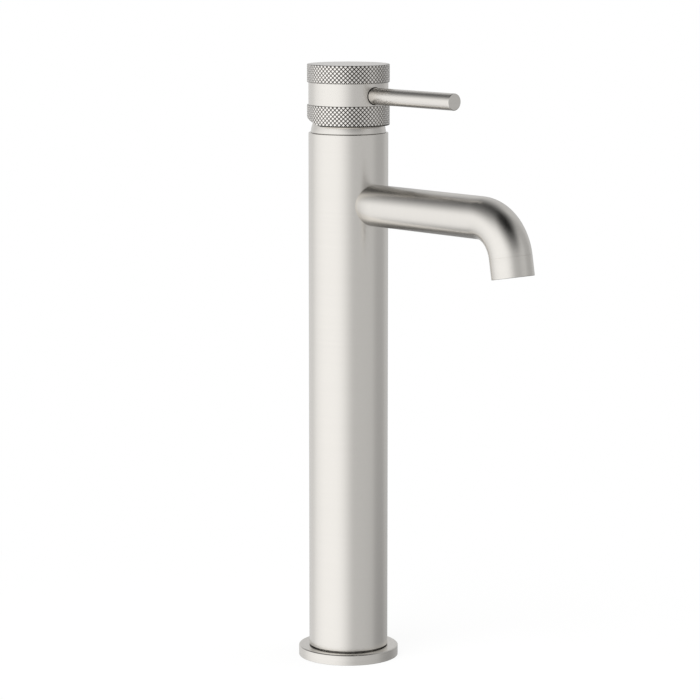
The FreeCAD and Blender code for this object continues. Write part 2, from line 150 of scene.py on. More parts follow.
class MIXER_PG_handle(bpy.types.PropertyGroup):
    """The handle, its knurling and its lever."""
    drum_radius: length("Drum radius", "Smooth middle of the handle", high("column_body").x)
    band_radius: length("Band radius", "Knurled bands, over the diamonds", high("handle_shell").x)
    low_band: length("Lower band", "Height of the lower knurled band", 11.5 * MM)
    middle: length("Middle", "Height of the smooth middle", 12.5 * MM)
    band_chamfer: length("Band chamfer", "Chamfer of both bands' edges", 0.3 * MM)
    diamonds: count("Diamonds", "Knurled diamonds in a row round a band", 60)
    groove_depth: length("Groove depth", "Depth of the knurled grooves", 0.48 * MM)
    flat_share: share("Flat share", "How much of a diamond's width is flat on top", 0.66)
    row_shift: length("Row shift", "How far the rows of diamonds lie below the handle's middle", 0.93 * MM)
    relief: angle("Relief", "Slope of the cut that lets the handle tip back", 15.3)
    relief_start: length("Relief start", "Where that cut starts, in front of the axis", 2.76 * MM)
    dome_room: length("Room over the neck", "Gap between the handle and the neck", 0.3 * MM)
    wall: length("Wall", "Wall of the handle", 2.7 * MM)
    lid: length("Lid", "Thickness over the hollow", 4.1 * MM)
    boss_radius: length("Boss radius", "Boss that holds the stem", 12.0 * MM)
    stem_socket: length("Stem socket", "Width of the socket for the square stem", 8.1 * MM)
    plug_radius: length("Plug radius", "Hole behind, over the set screw", high("screw_hole_plug").x)
    lever_radius: length("Lever radius", "Outside of the lever", high("lever_pin").x)
    lever_seat: length("Lever seat", "Column's axis to the lever's shoulder", 11.0 * MM)
    lever_gap: length("Lever gap", "The dark ring round the lever's root", 0.4 * MM)
    lever_rounding: length("Lever rounding", "Rounding of the lever's tip", 0.45 * MM)
    thread_radius: length("Thread radius", "The lever's thread", 3.0 * MM)


class MIXER_PG_finish(bpy.types.PropertyGroup):
    """Colours and gloss."""
    nickel: colour("Nickel", "Satin nickel", 0.842, 0.815, 0.773)
    nickel_shade: colour("Nickel in the lines", "Satin nickel in the brushed lines", 0.751, 0.726, 0.686)
    # Painted highlight: the colour that the diamonds' flats and the handle's top are lightened towards.
    painted_highlight: colour("Worn nickel", "Satin nickel on top of the diamonds and the handle", 0.972, 0.945, 0.908)
    nickel_roughness: share("Nickel roughness", "Roughness of the satin nickel", 0.24)
    groove_shade: colour("Nickel in the grooves", "Nickel in the knurling, the lines and the shades",
                         0.095, 0.09, 0.08)
    brass: colour("Brass", "Bare turned brass", 0.72, 0.52, 0.22)
    brass_shade: colour("Brass, dull", "Brass where it has dulled", 0.50, 0.35, 0.15)
    copper: colour("Copper", "Copper tube", 0.80, 0.42, 0.28)
    copper_shade: colour("Copper, dull", "Copper where it has dulled", 0.52, 0.24, 0.15)
    steel: colour("Steel", "Plain steel", 0.62, 0.62, 0.61)
    steel_shade: colour("Steel, dull", "Steel in the turned lines", 0.46, 0.46, 0.45)
    rubber: colour("Rubber", "Seals and gasket", 0.018, 0.018, 0.019)
    rubber_shade: colour("Rubber bloom", "Pale bloom on the rubber", 0.045, 0.045, 0.047)
    body_plastic: colour("Cartridge plastic", "Cartridge body", 0.62, 0.61, 0.57)
    turret_plastic: colour("Turret plastic", "Turret of the cartridge", 0.05, 0.09, 0.17)
    spray_plastic: colour("Aerator plastic", "Insert of the aerator", 0.46, 0.47, 0.48)
    ceramic: colour("Ceramic", "Sealing discs", 0.80, 0.79, 0.75)


class MIXER_PG_studio(bpy.types.PropertyGroup):
    """Camera, light and floor."""
    camera_bearing: angle("Camera bearing", "Turn of the camera round the column", -41.0)
    camera_pitch: angle("Camera pitch", "How far the camera looks down", 8.64)
    camera_distance: length("Camera distance", "Camera to the point it looks at", 1.6883)
    camera_height: length("Aim height", "Height of that point on the column's axis", 0.1775)
    focal_length: FloatProperty(name="Focal length", description="In millimetres, on a 36 mm sensor",
                                default=152.4)
    framing: FloatProperty(name="Framing", description="Sideways shift of the picture, in widths",
                           default=0.0023)
    softbox_bearing: angle("Softbox bearing", "Where the large softbox stands", -97.0)
    fill: share("Fill", "Even light on what isn't glossy", 0.75, 2.0)
    horizon: share("Horizon", "Brightness of the plain studio wall", 0.57, 2.0)
    softbox: share("Softbox", "Brightness that the softbox adds", 0.48, 2.0)


class MIXER_PG_settings(bpy.types.PropertyGroup):
    """All settings of the mixer."""
    body: PointerProperty(type=MIXER_PG_body)
    spout: PointerProperty(type=MIXER_PG_spout)
    handle: PointerProperty(type=MIXER_PG_handle)
    finish: PointerProperty(type=MIXER_PG_finish)
    studio: PointerProperty(type=MIXER_PG_studio)


# ---- Node trees written as expressions ----
def arithmetic(operation, swapped=False):
    """A method that makes a Math node of a wire and another value."""
    def method(self, other):
        return self.graph.maths(operation, *((other, self) if swapped else (self, other)))
    return method


class Wire:
    """One output of a node, with the operators that the trees use."""
    __add__, __radd__ = arithmetic("ADD"), arithmetic("ADD", swapped=True)
    __sub__, __rsub__ = arithmetic("SUBTRACT"), arithmetic("SUBTRACT", swapped=True)
    __mul__, __rmul__ = arithmetic("MULTIPLY"), arithmetic("MULTIPLY", swapped=True)
    __truediv__ = arithmetic("DIVIDE")

    def __init__(self, graph, socket):
        self.graph = graph
        self.socket = socket

    def pick(self, output):
        """Another output of the same node."""
        return Wire(self.graph, self.socket.node.outputs[output])


def is_vector(value):
    return isinstance(value, tuple) or (isinstance(value, Wire) and value.socket.type == "VECTOR")


class Graph:
    """Makes the nodes of one tree."""

    def __init__(self, tree):
        self.tree = tree
        tree.nodes.clear()

    def node(self, kind, settings=None, inputs=None, output=0):
        """A node with its settings made first, then the values or wires of its sockets."""
        made = self.tree.nodes.new(kind)
        for key, value in (settings or {}).items():
            setattr(made, key, value)
        for key, value in (inputs or {}).items():
            if isinstance(value, Wire):
                self.tree.links.new(value.socket, made.inputs[key])
            else:
                made.inputs[key].default_value = value
        return Wire(self, made.outputs[output]) if made.outputs else made

    def maths(self, operation, *values):
        """A Math node, or a Vector Math node if a vector goes into it."""
        vector = any(is_vector(value) for value in values)
        kind = "ShaderNodeVectorMath" if vector else "ShaderNodeMath"
        plain = [(value,) * 3 if vector and isinstance(value, float) else value for value in values]
        return self.node(kind, {"operation": operation}, dict(enumerate(plain)))

    def hypotenuse(self, first, second):
        return self.maths("SQRT", first * first + second * second)

    def parts_of(self, vector):
        split = self.node("ShaderNodeSeparateXYZ", None, {0: vector})
        return split, split.pick(1), split.pick(2)

    def vector(self, x, y, z):
        return self.node("ShaderNodeCombineXYZ", None, {0: x, 1: y, 2: z})

    def ease(self, value, start, end, low_value=0.0, high_value=1.0):
        """A soft step between two levels of a value."""
        return self.node("ShaderNodeMapRange", {"interpolation_type": "SMOOTHSTEP"},
                         {0: value, 1: start, 2: end, 3: low_value, 4: high_value})

    def blend(self, factor, first, second):
        """Two colours mixed."""
        return self.node("ShaderNodeMix", {"data_type": "RGBA"}, {0: factor, 6: first, 7: second}, 2)

    def noise(self, vector, scale=1.0, detail=2.0):
        """Noise with a scale in features per metre."""
        return self.node("ShaderNodeTexNoise", None, {"Vector": vector, "Scale": scale, "Detail": detail})


# ---- Materials ----
def solid(rgb, level=1.0):
    """A colour for a socket, darker with a level under 1."""
    return (*(level * part for part in rgb), 1.0)


def fresh_material(name, attribute=None):
    """A material, its graph, and the place its texture reads: the object's own, or an attribute's."""
    material = bpy.data.materials.new(name)
    material.use_nodes = True
    graph = Graph(material.node_tree)
    if attribute:
        place = graph.node("ShaderNodeAttribute", {"attribute_name": attribute}, None, "Vector")
    else:
        place = graph.node("ShaderNodeTexCoord", None, None, "Object")
    return material, graph, place


def turned_lines(graph, place, axis, spacing, stretch=60):
    """Brushed lines that run round an axis: fine along it and outwards from it, long the way round."""
    parts = dict(zip("XYZ", graph.parts_of(place)))
    along = parts.pop(axis)
    first, second = parts.values()
    fine = 1.0 / spacing
    outwards = graph.hypotenuse(first, second)
    scaled = graph.vector(outwards * fine, along * fine, first * (fine / stretch))
    return graph.noise(scaled, detail=4.0)


def finish_surface(graph, base, roughness, height, depth, metallic=1.0):
    bump = graph.node("ShaderNodeBump", None, {"Strength": 1.0, "Distance": depth, "Height": height})
    shader = graph.node("ShaderNodeBsdfPrincipled", None, {
        "Base Color": base, "Roughness": roughness, "Normal": bump, "Metallic": metallic})
    graph.node("ShaderNodeOutputMaterial", None, {"Surface": shader})


def satin_nickel(name, axis, brushing=1.0, tint=None):
    """Satin nickel with turned lines round an axis, a fine grain and a slow change of gloss.

    The axis "tube" is the spout's own. A tint is a function that changes the colour."""
    finish = bpy.context.scene.mixer.finish
    most_shade, line_gloss, cloud_gloss = 0.55, 0.10, 0.05
    tube = axis == "tube"
    material, graph, place = fresh_material(name, "straight" if tube else None)
    lines = turned_lines(graph, place, "Z" if tube else axis, spacing=0.9 * MM)
    grain = graph.noise(place, scale=4000.0)
    cloud = graph.noise(place, scale=45.0)
    tone = 0.55 * lines + 0.25 * grain + 0.2 * cloud
    lined = graph.ease(tone, start=0.62, end=0.42, high_value=most_shade * brushing)
    base = graph.blend(lined, solid(finish.nickel), solid(finish.nickel_shade))
    roughness = (finish.nickel_roughness + line_gloss * brushing * (lines - 0.5)
                 + cloud_gloss * (cloud - 0.5))
    if tint:
        base = tint(graph, place, base)
    finish_surface(graph, base, roughness, 0.6 * lines + 0.4 * grain,
                   depth=0.004 * brushing * MM)
    return material


def darkened(graph, amount, base):
    """A colour blended towards that of the grooves: the painted shade."""
    return graph.blend(amount, base, solid(bpy.context.scene.mixer.finish.groove_shade))


def knurled_tint(foot, tip, bottom, top):
    """Painted shade in the knurling's grooves and at its lowest edge; a painted highlight on its diamonds
    and on top.
    """
    finish = bpy.context.scene.mixer.finish
    blur = 0.02 * MM
    edge_start, edge_end = 0.75 * MM, 0.5 * MM
    lid_highlight = 0.8

    def tint(graph, place, base):
        side, front, height = graph.parts_of(place)
        depth = graph.hypotenuse(side, front)
        knurled = graph.ease(depth, foot - 6 * blur, foot - blur)
        under_top = graph.ease(height, top - blur, top - 2 * blur)
        edge = graph.ease(height, bottom + edge_start, bottom + edge_end)
        # Painted shade: deeper towards the bottoms of the grooves, and along the band's lowest edge.
        dark = knurled * graph.maths("MAXIMUM", graph.ease(depth, tip, foot) * under_top, edge)
        # Painted highlight: full on the diamonds, and a little less on the handle's top.
        bright = graph.maths("MAXIMUM", knurled * under_top, lid_highlight * (1.0 - under_top))
        painted_highlight = graph.blend(bright, base, solid(finish.painted_highlight))
        return darkened(graph, dark, painted_highlight)
    return tint


def shadow_tint(start, end):
    """Dark in the line between two heights, from none at the first to all of it at the second."""
    def tint(graph, place, base):
        return darkened(graph, graph.ease(graph.parts_of(place)[2], start, end), base)
    return tint


def root_shade(radius, reach, amount, bar=0.0):
    """Soft shade on a bar where it leaves an upright round body of this radius.

    The bar lies along -Y. With its own radius given it lies along its own Z instead, and the shade is
    deeper underneath and runs far out along the top and the bottom."""
    underneath, edge_start, edge_end = 0.25, 0.5, 0.78
    far_reach, far_amount, far_underneath = 5.5, 0.32, 0.1

    def tint(graph, place, base):
        side, front, height = graph.parts_of(place)
        along = height if bar else -1.0 * front
        past = along - graph.maths("SQRT", radius * radius - side * side)
        if bar:
            near = graph.ease(past, reach, 0.0, high_value=amount + underneath / bar * front)
            edge = graph.ease(graph.maths("ABSOLUTE", front), edge_start * bar, edge_end * bar)
            far = graph.ease(past, far_reach * reach, reach, 0.0, far_amount - far_underneath / bar * front)
            shade = graph.maths("MAXIMUM", near, edge * far)
        else:
            shade = graph.ease(past, reach, 0.0, high_value=amount)
        return darkened(graph, shade, base)
    return tint


def dulled_metal(name, bright, dull, roughness):
    """Bare metal with turned lines and dulled patches."""
    material, graph, place = fresh_material(name)
    lines = turned_lines(graph, place, "Z", spacing=0.5 * MM)
    patches = graph.ease(graph.noise(place, scale=140.0, detail=4.0), start=0.38, end=0.68)
    base = graph.blend(0.7 * patches + 0.3 * lines, solid(bright), solid(dull))
    finish_surface(graph, base, roughness + 0.15 * patches, lines, depth=0.006 * MM)
    return material


def seal_rubber(name):
    """Rubber with a fine grain and a pale bloom."""
    finish = bpy.context.scene.mixer.finish
    material, graph, place = fresh_material(name)
    grain = graph.noise(place, scale=2500.0, detail=3.0)
    bloom = graph.ease(graph.noise(place, scale=220.0, detail=3.0), start=0.45, end=0.75)
    base = graph.blend(bloom, solid(finish.rubber), solid(finish.rubber_shade))
    finish_surface(graph, base, 0.6 + 0.15 * grain, grain, depth=0.02 * MM, metallic=0.0)
    return material


def moulded_plastic(name, rgb, roughness=0.42):
    """Plastic with a faint moulded grain and flow marks."""
    material, graph, place = fresh_material(name)
    grain = graph.noise(place, scale=3000.0)
    stretched = graph.maths("MULTIPLY", place, (90.0, 90.0, 260.0))
    flow = graph.ease(graph.noise(stretched), start=0.3, end=0.7)
    base = graph.blend(flow, solid(rgb), solid(rgb, level=0.86))
    finish_surface(graph, base, roughness + 0.08 * (grain - 0.5), grain, depth=0.01 * MM,
                   metallic=0.0)
    return material


def lapped_ceramic(name):
    """Ceramic with a faint speck from lapping."""
    finish = bpy.context.scene.mixer.finish
    material, graph, place = fresh_material(name)
    speck = graph.ease(graph.noise(place, scale=1800.0, detail=3.0), start=0.55, end=0.75)
    base = graph.blend(0.25 * speck, solid(finish.ceramic), solid(finish.ceramic, level=0.8))
    finish_surface(graph, base, 0.22 + 0.1 * speck, speck, depth=0.002 * MM, metallic=0.0)
    return material


# ---- Meshes ----
def rounded(corners):
    """An outline from corners (radius, height, rounding), with an arc at each rounded one."""
    outline = []
    for index, (radius, height, rounding) in enumerate(corners):
        corner = Vector((radius, height))
        if not rounding:
            outline.append(corner)
            continue
        to_last = (Vector(corners[index - 1][:2]) - corner).normalized()
        to_next = (Vector(corners[(index + 1) % len(corners)][:2]) - corner).normalized()
        half = to_last.angle(to_next) / 2
        reach = rounding / math.tan(half)
        middle = corner + (to_last + to_next).normalized() * rounding / math.sin(half)
        start = corner + to_last * reach
        end = corner + to_next * reach
        outline.append(start + to_last * rounding / 2)
        first_spoke, last_spoke = start - middle, end - middle
        for step in range(ARC_STEPS + 1):
            outline.append(middle + first_spoke.slerp(last_spoke, step / ARC_STEPS).normalized() * rounding)
        outline.append(end + to_next * rounding / 2)
    return outline


def finished(work, name, outward=True):
    """The mesh of a bmesh, with its faces turned outward unless told not to. The bmesh is freed."""
    if outward:
        bmesh.ops.recalc_face_normals(work, faces=work.faces)
    made = bpy.data.meshes.new(name)
    work.to_mesh(made)
    work.free()
    return made


def turned(outline, facets):
    """A solid of revolution about Z. The outline is closed, and a point on the axis is one vertex."""
    mesh = bmesh.new()
    rings = []
    for radius, height in outline:
        steps = range(facets) if radius > FIT / 10 else range(1)
        turns = [2 * math.pi * step / facets for step in steps]
        rings.append([mesh.verts.new((radius * math.sin(turn), -radius * math.cos(turn), height))
                      for turn in turns])
    for ring, following in zip(rings, rings[1:] + rings[:1]):
        if len(ring) + len(following) == 2:
            continue
        for step in range(facets):
            after = (step + 1) % facets
            corners = (ring[step % len(ring)], ring[after % len(ring)],
                       following[after % len(following)], following[step % len(following)])
            mesh.faces.new(dict.fromkeys(corners))
    return finished(mesh, "turned")


def rod(radius, start, end):
    """A plain round bar along Z."""
    return turned([(0.0, start), (radius, start), (radius, end), (0.0, end)], BAR_FACETS)


def prism(profile, half_width):
    """A block along X from a closed profile of (y, z) points."""
    mesh = bmesh.new()
    sides = [[mesh.verts.new((side * half_width, y, z)) for y, z in profile] for side in (-1, 1)]
    mesh.faces.new(sides[0])
    mesh.faces.new(sides[1])
    for index in range(len(profile)):
        after = (index + 1) % len(profile)
        mesh.faces.new((sides[0][index], sides[0][after], sides[1][after], sides[1][index]))
    return finished(mesh, "prism")


def tipped(mesh, height, degrees=90):
    """Lays what was made along +Z level at a height, along -Y, or along +Y with -90 degrees."""
    mesh.transform(Matrix.Translation((0, 0, height)) @ Matrix.Rotation(math.radians(degrees), 4, "X"))
    return mesh


def loose_object(name, mesh):
    thing = bpy.data.objects.new(name, mesh)
    bpy.context.scene.collection.objects.link(thing)
    return thing


def plain_mesh(thing):
    """The object's mesh with its modifiers worked out. The object is removed."""
    made = bpy.data.meshes.new_from_object(thing.evaluated_get(bpy.context.evaluated_depsgraph_get()))
    bpy.data.objects.remove(thing)
    return made


def carved(mesh, tools, operation="DIFFERENCE"):
    """A mesh with each tool taken out of it, or with only what lies in each tool."""
    work = loose_object("work", mesh)
    helpers = [loose_object("tool", tool) for tool in tools]
    for helper in helpers:
        modifier = work.modifiers.new("cut", "BOOLEAN")
        modifier.solver = "MANIFOLD"
        modifier.operation = operation
        modifier.object = helper
    made = plain_mesh(work)
    for helper in helpers:
        bpy.data.objects.remove(helper)
    if len(made.polygons) < FEWEST_FACES:
        raise RuntimeError("a cut left nothing of the piece")
    return made


def placed(name, mesh, material, body, node):
    """A finished piece: shaded, with its material, on its body, in place of its solid."""
    mesh.name = name
    mesh.materials.clear()
    mesh.materials.append(material)
    mesh.shade_smooth()
    mesh.set_sharp_from_angle(angle=SHARP_ANGLE)
    piece = loose_object(name, mesh)
    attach(piece, body)
    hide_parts(node)
    return piece


# ---- Geometry node trees ----
def fresh_tree(name, sizes):
    """A geometry tree with a named input for each size. Gives its graph and its input wires."""
    tree = bpy.data.node_groups.new(name, "GeometryNodeTree")
    tree.interface.new_socket("Geometry", in_out="INPUT", socket_type="NodeSocketGeometry")
    tree.interface.new_socket("Geometry", in_out="OUTPUT", socket_type="NodeSocketGeometry")
    for label, value in sizes.items():
        kind = "NodeSocketInt" if isinstance(value, int) else "NodeSocketFloat"
        tree.interface.new_socket(label, in_out="INPUT", socket_type=kind)
    graph = Graph(tree)
    inputs = graph.node("NodeGroupInput")
    return tree, graph, {label: inputs.pick(label) for label in ("Geometry", *sizes)}


def end_tree(graph, geometry, material):
    """Closes a tree: what it holds is made real and gets its material."""
    real = graph.node("GeometryNodeRealizeInstances", None, {0: geometry})
    coloured = graph.node("GeometryNodeSetMaterial", None, {"Geometry": real, "Material": material})
    graph.node("NodeGroupOutput", None, {0: coloured})


def run_tree(tree, mesh, sizes):
    """A mesh put through a geometry tree."""
    thing = loose_object("work", mesh)
    modifier = thing.modifiers.new("tree", "NODES")
    modifier.node_group = tree
    for item in tree.interface.items_tree:
        if item.in_out == "INPUT" and item.name in sizes:
            modifier[item.identifier] = sizes[item.name]
    return plain_mesh(thing)


def knurled_bar(sizes, material):
    """A round bar knurled all over: truncated diamonds on a staggered grid, wrapped round the bar."""
    tree, graph, wires = fresh_tree("knurling", sizes)
    across = 2 * math.pi * wires["Foot radius"] / wires["Diamonds"]
    rows = wires["Rows"]
    stations = graph.node("GeometryNodeMeshGrid", None, {
        "Size X": across * (wires["Diamonds"] - 1.0), "Size Y": across / 2 * (rows - 1.0),
        "Vertices X": wires["Diamonds"], "Vertices Y": rows})
    # There is an even number of rows, so an odd index is in an odd row.
    odd_row = graph.maths("MODULO", graph.node("GeometryNodeInputIndex"), 2.0)
    staggered = graph.node("GeometryNodeSetPosition", None, {
        "Geometry": stations, "Offset": graph.vector(odd_row * across / 2, 0.0, 0.0)})
    diamond = graph.node("GeometryNodeMeshCone", {"fill_type": "NGON"}, {
        "Vertices": 4, "Side Segments": 1, "Fill Segments": 1, "Depth": wires["Depth"],
        "Radius Top": across / 2 * wires["Flat share"], "Radius Bottom": across / 2})
    open_diamond = graph.node("GeometryNodeDeleteGeometry", {"domain": "FACE"}, {
        "Geometry": diamond, "Selection": diamond.pick("Bottom")})
    points = graph.node("GeometryNodeInstanceOnPoints", None, {
        "Points": staggered, "Instance": open_diamond})
    real = graph.node("GeometryNodeRealizeInstances", None, {0: points})
    weld = across / 40
    sheet = graph.node("GeometryNodeMergeByDistance", None, {"Geometry": real, "Distance": weld})
    along, up, out = graph.parts_of(graph.node("GeometryNodeInputPosition"))
    turn = along / wires["Foot radius"]
    radius = wires["Foot radius"] + out
    wrapped = graph.node("GeometryNodeSetPosition", None, {
        "Geometry": sheet, "Position": graph.vector(
            radius * graph.maths("SINE", turn), -1.0 * radius * graph.maths("COSINE", turn),
            up + wires["Middle height"])})
    bar = graph.node("GeometryNodeMergeByDistance", None, {"Geometry": wrapped, "Distance": weld})
    end_tree(graph, bar, material)
    return closed_ends(run_tree(tree, bpy.data.meshes.new("bar"), sizes), sizes["Middle height"])


def closed_ends(mesh, middle):
    """Closes both open ends of an upright tube with a fan round the axis."""
    work = bmesh.new()
    work.from_mesh(mesh)
    open_edges = [edge for edge in work.edges if edge.is_boundary]
    for side in (-1, 1):
        rim = [edge for edge in open_edges if side * (edge.verts[0].co.z - middle) > 0]
        centre = work.verts.new((0, 0, rim[0].verts[0].co.z))
        for edge in rim:
            work.faces.new((edge.verts[0], edge.verts[1], centre))
    return finished(work, "bar")


def bent_tube(mesh, sizes, material):
    """A straight turned tube, laid along the spout: coped to the column, run out and bent down."""
    tree, graph, wires = fresh_tree("spout_path", sizes)
    place = graph.node("GeometryNodeInputPosition")
    kept = graph.node("GeometryNodeStoreNamedAttribute", {"data_type": "FLOAT_VECTOR", "domain": "POINT"}, {
        "Geometry": wires["Geometry"], "Name": "straight", "Value": place})
    side, down, along = graph.parts_of(place)
    column = wires["Column radius"]
    wall = graph.maths("SQRT", column * column - side * side)
    run = graph.maths("MAXIMUM", along, wall)
    past = graph.maths("MAXIMUM", run - wires["Straight"], 0.0)
    turn = graph.maths("MINIMUM", past / wires["Bend radius"], wires["Bend"])
    beyond = past - turn * wires["Bend radius"]
    level = graph.maths("MINIMUM", run, wires["Straight"])
    reach = wires["Bend radius"] - down
    sine, cosine = graph.maths("SINE", turn), graph.maths("COSINE", turn)
    laid = graph.node("GeometryNodeSetPosition", None, {
        "Geometry": kept, "Position": graph.vector(
            side, -1.0 * level - reach * sine - beyond * cosine,
            wires["Height"] - wires["Bend radius"] + reach * cosine - beyond * sine)})
    end_tree(graph, laid, material)
    made = run_tree(tree, mesh, sizes)
    made.flip_normals()
    return made


def spout_path(spout, body):
    """The sizes of the path that the tube and its tip are laid along."""
    return {"Column radius": body.column_radius, "Straight": spout.straight,
            "Bend radius": spout.bend_radius, "Bend": spout.bend,
            "Height": high("spout_tube").z - spout.radius}


# ---- Operators: one for each piece, or for pieces that are alike ----
class MIXER_OT_flange(bpy.types.Operator):
    """Turns the flange with its shadow line, spigot and gasket groove"""
    bl_idname = "mixer.flange"
    bl_label = "Flange"

    def execute(self, context):
        body = context.scene.mixer.body
        spigot = body.column_bore - FIT
        groove_out, groove_in = body.gasket_radius, body.gasket_radius - body.gasket_width
        outline = rounded((
            (body.flange_bore, 0, 0), (groove_in, 0, 0), (groove_in, high("base_gasket").z, 0),
            (groove_out, high("base_gasket").z, 0), (groove_out, 0, 0),
            (body.flange_radius, 0, body.flange_chamfer / 2),
            (body.flange_radius, body.flange_height - body.flange_chamfer, FIT),
            (body.flange_radius - body.flange_chamfer, body.flange_height, FIT),
            (body.column_radius - body.shadow_depth, body.flange_height, 0),
            (body.column_radius - body.shadow_depth, body.column_low, 0), (spigot, body.column_low, 0),
            (spigot, high("base_flange").z, 0), (body.flange_bore, high("base_flange").z, 0)))
        line = shadow_tint(body.flange_height + 0.2 * FIT, body.flange_height + FIT)
        satin = satin_nickel("flange_satin", "Z", brushing=0.8, tint=line)
        placed("flange_ring", turned(outline, body.facets), satin, "column", "base_flange")
        return {"FINISHED"}


class MIXER_OT_column(bpy.types.Operator):
    """Turns the column and bores the hole behind the spout"""
    bl_idname = "mixer.column"
    bl_label = "Column"

    def execute(self, context):
        body = context.scene.mixer.body
        outline = rounded((
            (body.column_bore, body.column_low, 0),
            (body.column_radius, body.column_low, body.rim_rounding / 3),
            (body.column_radius, body.column_top, body.rim_rounding),
            (body.column_bore, body.column_top, 0)))
        height = high("spout_tube").z - high("spout_tube").x
        hole = tipped(rod(body.nipple_hole, 0, 2 * body.column_radius), height)
        tube = carved(turned(outline, body.facets), [hole])
        foot = shadow_tint(body.column_low + 9 * FIT, body.column_low + 5 * FIT)
        satin = satin_nickel("column_satin", "Z", brushing=0.25, tint=foot)
        placed("column_tube", tube, satin, "column", "column_body")
        return {"FINISHED"}


class MIXER_OT_neck(bpy.types.Operator):
    """Turns the round neck under the handle"""
    bl_idname = "mixer.neck"
    bl_label = "Neck"
    steps = 24

    def execute(self, context):
        body = context.scene.mixer.body
        inner = body.dome_radius - body.dome_wall
        outline = self.ball(body.dome_radius, body.column_top, body.dome_opening)
        outline += reversed(self.ball(inner, body.column_top, body.dome_opening))
        skirt_low = body.column_top - body.dome_skirt
        skirt = body.column_bore - FIT
        throat = inner - body.rim_rounding
        outline += [(throat, body.column_top), (throat, skirt_low)]
        outline += [(skirt, skirt_low), (skirt, body.column_top)]
        joint = shadow_tint(body.column_top + body.rim_rounding, body.column_top + 3 * FIT)
        satin = satin_nickel("neck_satin", "Z", brushing=0.8, tint=joint)
        placed("dome_neck", turned(outline, body.facets), satin, "column", "dome_cover")
        return {"FINISHED"}

    def ball(self, radius, floor, opening):
        """The ball's outline round the handle's pivot, from a floor up to the opening."""
        start = math.asin((floor - PIVOT.z) / radius)
        end = math.acos(opening / radius)
        turns = [start + (end - start) * step / self.steps for step in range(self.steps + 1)]
        return [(radius * math.cos(turn), PIVOT.z + radius * math.sin(turn)) for turn in turns]


class MIXER_OT_spout(bpy.types.Operator):
    """Turns the straight tube and bends it into the spout"""
    bl_idname = "mixer.spout"
    bl_label = "Spout tube"
    bend_steps = 48

    def execute(self, context):
        spout, body = context.scene.mixer.spout, context.scene.mixer.body
        bore = spout.radius - spout.wall
        socket = bore + spout.socket_cut
        arc = spout.bend * spout.bend_radius
        end = spout.straight + arc
        stations = [body.column_bore / 2, body.column_radius + MM, spout.straight / 2]
        stations += [spout.straight + arc * step / self.bend_steps for step in range(self.bend_steps)]
        outline = [(spout.radius, station) for station in stations]
        outline += [(spout.radius, end - spout.seam), (spout.radius - spout.seam, end), (socket, end)]
        outline += [(socket, end - spout.socket_depth), (bore, end - spout.socket_depth)]
        outline += [(bore, station) for station in reversed(stations) if station < end - spout.socket_depth]
        shade = root_shade(body.column_radius, reach=12 * MM, amount=0.22, bar=spout.radius)
        satin = satin_nickel("spout_satin", "tube", brushing=0.3, tint=shade)
        tube = bent_tube(turned(outline, spout.facets), spout_path(spout, body), satin)
        placed("spout_pipe", tube, satin, "column", "spout_tube")
        return {"FINISHED"}


class MIXER_OT_spout_tip(bpy.types.Operator):
    """Turns the aerator's tip and sets it on the spout's end"""
    bl_idname = "mixer.spout_tip"
    bl_label = "Spout tip"

    def execute(self, context):
        spout, body = context.scene.mixer.spout, context.scene.mixer.body
        start = spout.straight + spout.bend * spout.bend_radius
        end = start + spout.tip_length
        spigot = spout.radius - spout.wall + spout.socket_cut - FIT
        bore = spout.radius - spout.wall - spout.tip_wall
        lip = bore - spout.tip_lip
        top = start - spout.socket_depth + 6 * FIT
        outline = rounded((
            (spout.radius - spout.seam, start, 0), (spout.radius, start + spout.seam, 0),
            (spout.radius, end, spout.tip_rounding), (lip, end, spout.tip_rounding / 2),
            (lip, end - spout.tip_lip_height, 0), (bore, end - spout.tip_lip_height, 0), (bore, top, 0),
            (spigot, top, 0), (spigot, start, 0)))
        material = satin_nickel("tip_satin", "tube", brushing=0.5)
        tip = bent_tube(turned(outline, spout.facets), spout_path(spout, body), material)
        placed("spout_tip", tip, material, "column", "aerator_housing")
        return {"FINISHED"}


